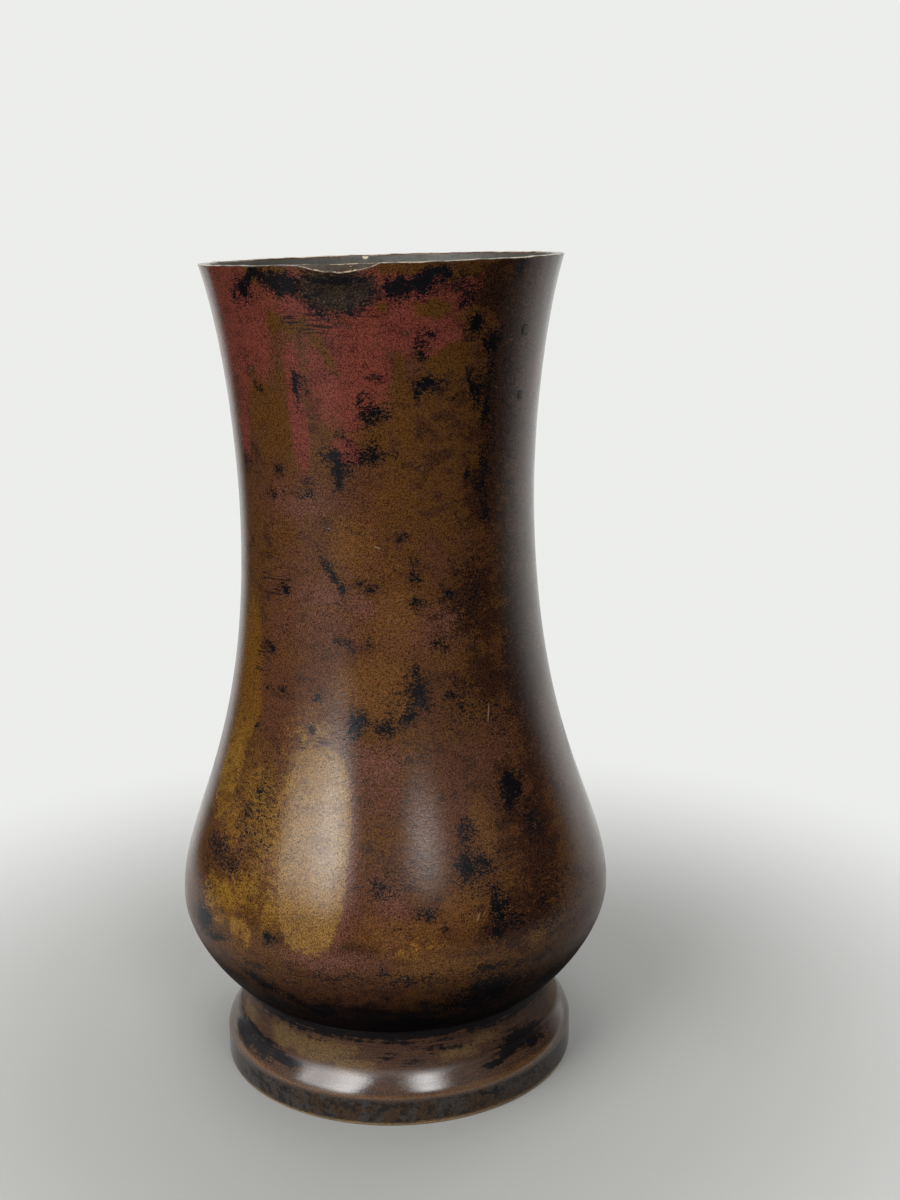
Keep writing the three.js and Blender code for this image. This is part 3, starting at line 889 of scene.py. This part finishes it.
def add_foot():
    foot, place = turned_piece("vase_foot", foot_outline())
    _, height, radius = place
    outside = radius > WAIST_RADIUS - 1
    # Dark field: black streaks and dust, and painted shade with dark patina in the groove under the body
    groove_patina_and_shade = np.exp2(-(((WAIST_HEIGHT - height) / GROOVE_SHADE_REACH) ** 2))
    dark = largest(spread(FOOT_DARK, place), 0.5 * spread(FOOT_DUST, place), groove_patina_and_shade)
    foot_edge = EDGE_WEAR * np.exp2(-((height / EDGE_REACH) ** 2))
    edge = largest(spread(FOOT_BARE, place), foot_edge) * outside
    band = smooth_step(FOOT_BAND - height, *BAND_EDGE)
    paint(foot.data, "patina_foot", (dark, spread(FOOT_GLOW, place), edge, band))
    foot.data.materials.append(foot_patina())
    return foot


# Base disc: its tones, how far its faces lie inside the solid, and the turned rings on them
PLATE_BROWN = rgb(0.060, 0.040, 0.024)
PLATE_OCHRE = rgb(0.090, 0.066, 0.036)
PLATE_GRAIN = rgb(0.020, 0.016, 0.012)
PLATE_SKIN = 0.06
RIPPLE = 0.05
RIPPLE_RATE = 2.2
RIPPLE_FROM = 2.0


def plate_bronze():
    material, _, shader, place = new_material("plate_bronze")
    drift = noise(place, 70, 6, 0.65)
    grain = noise(place, 1100, 4, 0.6)
    colour = mixed(between(drift, 0.4, 0.62), PLATE_BROWN, PLATE_OCHRE)
    connect(shader, {
        "Base Color": mixed(between(grain, 0.56, 0.7), colour, PLATE_GRAIN),
        "Roughness": between(drift, 0.3, 0.7, 0.45, 0.62),
        "Metallic": 0.3,
        "Normal": bump(grain, 0.25, 0.5 * MM),
    })
    return material


def add_plate():
    """Base disc with faint turned rings on both faces."""
    radii = np.linspace(0, PLATE_RADIUS, PLATE_RINGS)
    ripple = RIPPLE * np.sin(radii * RIPPLE_RATE) * (radii > RIPPLE_FROM)
    under = np.stack([radii, PLATE_BOTTOM + PLATE_SKIN + ripple], axis=1)
    over = np.stack([radii, PLATE_TOP - PLATE_SKIN - ripple], axis=1)
    plate, _ = turned_piece("base_disc", np.concatenate([under, over[::-1]]), PLATE_AROUND)
    joined = bmesh.new()
    joined.from_mesh(plate.data)
    bmesh.ops.remove_doubles(joined, verts=joined.verts, dist=1e-7)
    bmesh.ops.dissolve_degenerate(joined, edges=joined.edges, dist=1e-8)
    axis_edges = [edge for edge in joined.edges if not edge.link_faces]
    bmesh.ops.delete(joined, geom=axis_edges, context="EDGES")
    joined.to_mesh(plate.data)
    joined.free()
    plate.data.materials.append(plate_bronze())
    return plate


# Solder beads: tones, how far the face sags towards the corner, and its lumps, as turns and phase
SOLDER_GREY = rgb(0.23, 0.22, 0.20)
SOLDER_BROWN = rgb(0.12, 0.10, 0.08)
SOLDER_GRAIN = rgb(0.06, 0.05, 0.04)
SOLDER_SAG = 0.55
SOLDER_LUMPS = 0.12
SOLDER_WAVES = ((11, 0), (17, 1))


def solder_metal():
    material, _, shader, place = new_material("solder_metal")
    drift = noise(place, 180, 5, 0.6)
    grain = noise(place, 1500, 3, 0.6)
    colour = mixed(between(drift, 0.38, 0.62), SOLDER_GREY, SOLDER_BROWN)
    connect(shader, {
        "Base Color": mixed(between(grain, 0.55, 0.7), colour, SOLDER_GRAIN),
        "Roughness": between(drift, 0.3, 0.7, 0.35, 0.55),
        "Metallic": 0.7,
        "Normal": bump(drift, 0.3, 1.0 * MM),
    })
    return material


def add_solder(name, node_name, rise, material):
    """Bead in a corner with a sagging face; rise is 1 above its seat and -1 below it."""
    low, high = (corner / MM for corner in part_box(node_name))
    seat = low.z if rise > 0 else high.z
    corner = outline_point(high.x, seat)
    toe = corner - [SOLDER_LEG, 0]
    head = corner + [0, rise * SOLDER_LEG]
    leave, arrive = (end + SOLDER_SAG * (corner - end) for end in (head, toe))
    face = bezier(head, leave, arrive, toe, SOLDER_RINGS)
    outline = np.concatenate([[corner], face])

    def lumps(azimuth, height, radius):
        turn = np.radians(azimuth)
        away = (np.abs(height - corner[1]) + np.abs(radius - corner[0])) / SOLDER_LEG
        swell = SOLDER_LUMPS * (waves(turn, SOLDER_WAVES) - len(SOLDER_WAVES)) * (away > 0.01)
        return height + rise * swell * (height != seat), radius - swell * 0.5 * (radius != corner[0])

    if rise < 0:
        outline = outline[::-1]
    bead, _ = turned_piece(name, outline, SOLDER_AROUND, lumps)
    bead.data.materials.append(material)
    return bead


# Core plugs: tones, widths of the two, and the form of their ends
PLUG_BROWN = rgb(0.075, 0.045, 0.032)
PLUG_UMBER = rgb(0.055, 0.034, 0.022)
PLUG_SEAM_BLACK = rgb(0.010, 0.009, 0.009)
UPPER_PLUG = 2.4
LOWER_PLUG = 1.9
PLUG_CORNER = 0.5
PLUG_SEAM = 0.35
PLUG_STAND = 0.06
PLUG_DEPTH = 1.2


def plug_metal():
    material, tree, shader, place = new_material("plug_metal")
    rim = node(tree, "Attribute", attribute_name="plug_rim").outputs["Fac"]
    drift = noise(place, 600, 5, 0.6)
    grain = noise(place, 2200, 3, 0.6)
    colour = mixed(between(drift, 0.4, 0.6), PLUG_BROWN, PLUG_UMBER)
    connect(shader, {
        "Base Color": mixed(between(rim, 0.2, 0.8), colour, PLUG_SEAM_BLACK),
        "Roughness": between(drift, 0.3, 0.7, 0.35, 0.5),
        "Metallic": 0.15,
        "Normal": bump(grain, 0.2, 0.2 * MM),
    })
    return material


def add_plug(name, node_name, size, material):
    """Square pin end, level with the wall, with a dark seam round it and a slightly domed face."""
    low, high = (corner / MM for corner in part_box(node_name))
    middle = (low + high) / 2
    azimuth = math.atan2(middle.x, -middle.y)
    outer = body_outer()
    off = outer - outline_point(math.hypot(middle.x, middle.y), middle.z)
    ring = int(np.argmin(np.hypot(*off.T)))
    slope = outer[ring + 1] - outer[ring - 1]
    slope /= np.hypot(*slope)
    height, radius = wear_shape(np.array([math.degrees(azimuth)]), outer[ring, 1:], outer[ring, :1])
    out = Vector((math.sin(azimuth), -math.cos(azimuth), 0))
    normal = out * slope[1] - Vector((0, 0, slope[0]))
    side = Vector((math.cos(azimuth), math.sin(azimuth), 0))
    up = normal.cross(side)
    centre = out * radius[0] + Vector((0, 0, height[0]))
    turns = np.arange(PLUG_AROUND) * 2 * math.pi / PLUG_AROUND
    square = np.stack([np.cos(turns), np.sin(turns)], axis=1)
    square = np.sign(square) * np.abs(square) ** PLUG_CORNER
    half = size / 2
    # Reach from the middle, lift over the wall, and share of the seam's black
    layers = [
        (half + PLUG_SEAM, -PLUG_DEPTH, 1.0),
        (half + PLUG_SEAM, PLUG_STAND, 1.0),
        (half + 0.05, PLUG_STAND, 1.0),
        (half, PLUG_STAND - 0.04, 1.0),
        (half * 0.93, PLUG_STAND + 0.05, 0.2),
        (half * 0.6, PLUG_STAND + 0.09, 0.0),
        (half * 0.2, PLUG_STAND + 0.1, 0.0),
    ]
    points = []
    rims = []
    for reach, lift, rim in layers:
        for x, y in square * reach:
            points.append((centre + side * x + up * y + normal * lift) * MM)
            rims.append(rim)
    end = np.arange(PLUG_AROUND)
    faces = [end[::-1].tolist(), (end + len(points) - PLUG_AROUND).tolist()]
    faces += ring_faces(len(layers), PLUG_AROUND, closed=False)
    plug = add_mesh(name, points, faces)
    plug.data.attributes.new("plug_rim", "FLOAT", "POINT").data.foreach_set("value", rims)
    plug.data.materials.append(material)
    return plug


def dress(piece, node_name):
    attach(piece, "root")
    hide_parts(node_name)


solder = solder_metal()
plug_finish = plug_metal()
dress(add_body(), "body_shell")
dress(add_foot(), "foot_ring")
dress(add_plate(), "base_plate")
dress(add_solder("foot_solder_bead", "foot_solder", 1, solder), "foot_solder")
dress(add_solder("base_solder_bead", "base_solder", -1, solder), "base_solder")
dress(add_plug("plug_upper", "core_plug_upper", UPPER_PLUG, plug_finish), "core_plug_upper")
dress(add_plug("plug_lower", "core_plug_lower", LOWER_PLUG, plug_finish), "core_plug_lower")

# Stage, in metres: a pale floor that fades into the background away from the vase. The camera and mirrored
# rays see all of it, and other rays meet it only near the foot.
BACKGROUND = rgb(0.84, 0.85, 0.83)
FLOOR_COLOUR = rgb(0.31, 0.31, 0.30)
FLOOR_RADIUS = 0.32
FLOOR_FADE = (0.09, 0.28)
NEAR_EDGE = (0.050, 0.058)


def mirrored_rays(tree):
    """Rays that gloss throws back or glass lets through."""
    path = node(tree, "LightPath")
    return larger(path.outputs["Is Glossy Ray"], path.outputs["Is Transmission Ray"])


def add_floor():
    mesh = bpy.data.meshes.new("floor")
    disc = bmesh.new()
    bmesh.ops.create_circle(disc, cap_ends=True, segments=96, radius=FLOOR_RADIUS)
    disc.to_mesh(mesh)
    disc.free()
    floor = add_object("floor", mesh)
    material, tree, shader, place = new_material("floor_paper")
    connect(shader, {"Base Color": FLOOR_COLOUR, "Roughness": 0.8})
    distance = node(tree, "VectorMath", {0: place}, operation="LENGTH").outputs["Value"]
    fade = between(distance, *FLOOR_FADE)
    seen = larger(node(tree, "LightPath").outputs["Is Camera Ray"], mirrored_rays(tree))
    glow = node(tree, "Emission", {"Color": BACKGROUND, "Strength": 1.0}).outputs[0]
    clear = node(tree, "BsdfTransparent").outputs[0]
    below = node(tree, "NewGeometry").outputs["Backfacing"]
    away = between(distance, *NEAR_EDGE)
    open_share = larger(below, math_node("SUBTRACT", away, seen))
    lit = node(tree, "MixShader", {0: times(fade, seen), 1: shader.outputs[0], 2: glow}).outputs[0]
    both = node(tree, "MixShader", {0: open_share, 1: lit, 2: clear}).outputs[0]
    connect(tree.nodes["Material Output"], {"Surface": both})
    mesh.materials.append(material)


# Surroundings: a bright wall behind, a dim room in front, and the light that a window throws on what lies
# before it. Sides are azimuths, and rises are heights of a direction of length 1.
ROOM_TINT = rgb(1.0, 1.0, 0.985)
WALL_LEVEL = 0.98
WALL_RIGHT_SHARE = 0.9
WALL_RIGHT = (80, 130)
WALL_SLANT = 26
WALL_SLANT_RISE = (-0.16, 0.04)
WALL_LEFT = (-152, -135)
WALL_FOOT_RISE = (-0.46, -0.14)
WALL_FOOT_SHARE = 0.15
ROOM_LEVEL = 0.22
ROOM_DARK = 0.02
ROOM_RISE = (-0.1, 0.2)
ROOM_RIGHT = (45, 75)
ROOM_RIGHT_SHARE = 0.1
WINDOW_GLOW = 0.3
GLOW_LEFT = (-82, -62)
GLOW_RIGHT = (-22, -42)


def set_world():
    world = bpy.data.worlds.new("studio")
    world.use_nodes = True
    bpy.context.scene.world = world
    tree = world.node_tree
    azimuth, x, z = azimuth_of(node(tree, "TexCoord").outputs["Generated"])

    def turn_ramp(ends, start=0.0, end=1.0, turn=azimuth):
        return between(turn, *(math.radians(side) for side in ends), start, end)

    slant = between(z, *WALL_SLANT_RISE, 0.0, math.radians(WALL_SLANT))
    right = turn_ramp(WALL_RIGHT, turn=math_node("SUBTRACT", azimuth, slant))
    wall = larger(right, turn_ramp(WALL_LEFT, 1.0, 0.0))
    wall = times(wall, between(z, *WALL_FOOT_RISE, WALL_FOOT_SHARE, 1.0))
    behind = times(wall, mirrored_rays(tree))
    wall = times(wall, between(x, -0.5, 0.5, WALL_LEVEL, WALL_LEVEL * WALL_RIGHT_SHARE))
    room = between(z, *ROOM_RISE, ROOM_DARK, ROOM_LEVEL)
    room = times(room, turn_ramp(ROOM_RIGHT, 1.0, ROOM_RIGHT_SHARE))
    glow = times(turn_ramp(GLOW_LEFT), turn_ramp(GLOW_RIGHT, 0.0, WINDOW_GLOW))
    level = larger(wall, math_node("ADD", room, glow))
    seen = larger(node(tree, "LightPath").outputs["Is Camera Ray"], behind)
    connect(tree.nodes["Background"], {
        "Color": mixed(seen, ROOM_TINT, BACKGROUND),
        "Strength": larger(level, seen),
    })


DIP_REACH = (0.04, 0.62)


def add_softbox(name, azimuth, elevation, distance, width, height, level, edge, dip=1.0, dip_at=0.5):
    """Area lamp of a given brightness, aimed at the middle of the vase, with sizes in metres. It fades out
    over a share of its width and of its height, and dips to a share of its brightness at a place across."""
    lamp = bpy.data.lights.new(name, "AREA")
    lamp.shape = "RECTANGLE"
    lamp.size = width
    lamp.size_y = height
    lamp.energy = math.pi * width * height * level
    lamp.use_nodes = True
    tree = lamp.node_tree
    place = node(tree, "NewGeometry").outputs["Parametric"]
    u, v, _ = node(tree, "SeparateXYZ", {0: place}).outputs
    fade = None
    for share, width_of_edge in zip((u, v), edge):
        for ends in ((0.0, width_of_edge), (1.0, 1.0 - width_of_edge)):
            ramp = between(share, *ends)
            fade = ramp if fade is None else times(fade, ramp)
    off_dip = math_node("ABSOLUTE", math_node("SUBTRACT", u, dip_at))
    fade = times(fade, between(off_dip, *DIP_REACH, dip, 1.0))
    connect(tree.nodes["Emission"], {"Strength": fade})
    turn = math.radians(azimuth)
    rise = math.radians(elevation)
    aim = Vector((0, 0, 0.5 * VASE_HEIGHT * MM))
    away = Vector((math.sin(turn) * math.cos(rise), -math.cos(turn) * math.cos(rise), math.sin(rise)))
    made = add_object(name, lamp)
    made.location = aim + away * distance
    made.rotation_euler = away.to_track_quat("Z", "Y").to_euler()


# Camera, fitted to the outline in the photograph
CAMERA_DISTANCE = 452.4
CAMERA_HEIGHT = 249.7
CAMERA_YAW = 2.246
CAMERA_PITCH = -13.62
CAMERA_ROLL = -0.837
CAMERA_LENS = 47.34
CAMERA_SENSOR = 36.0


def add_camera():
    data = bpy.data.cameras.new("camera")
    data.lens = CAMERA_LENS
    data.sensor_width = CAMERA_SENSOR
    camera = add_object("camera", data)
    turn = Matrix.Rotation(math.radians(-CAMERA_YAW), 4, "Z")
    tip = Matrix.Rotation(math.radians(90 + CAMERA_PITCH), 4, "X")
    roll = Matrix.Rotation(math.radians(CAMERA_ROLL), 4, "Z")
    place = Matrix.Translation((0, -CAMERA_DISTANCE * MM, CAMERA_HEIGHT * MM))
    camera.matrix_world = place @ turn @ tip @ roll
    bpy.context.scene.camera = camera


add_floor()
set_world()
add_softbox("window_left", -47.4, 29, 1.2, 0.86, 1.3, 7.8, (0.03, 0.2), dip=0.45, dip_at=0.25)
add_softbox("window_front", 17.5, 34, 1.2, 0.60, 1.05, 8.6, (0.5, 0.2))
add_softbox("room_right", 128, 38, 1.2, 0.8, 0.8, 2.6, (0.4, 0.4))
add_softbox("ceiling", 0, 90, 1.3, 1.8, 1.8, 2.0, (0.3, 0.3))
add_camera()
bpy.context.scene.view_settings.view_transform = "Standard"
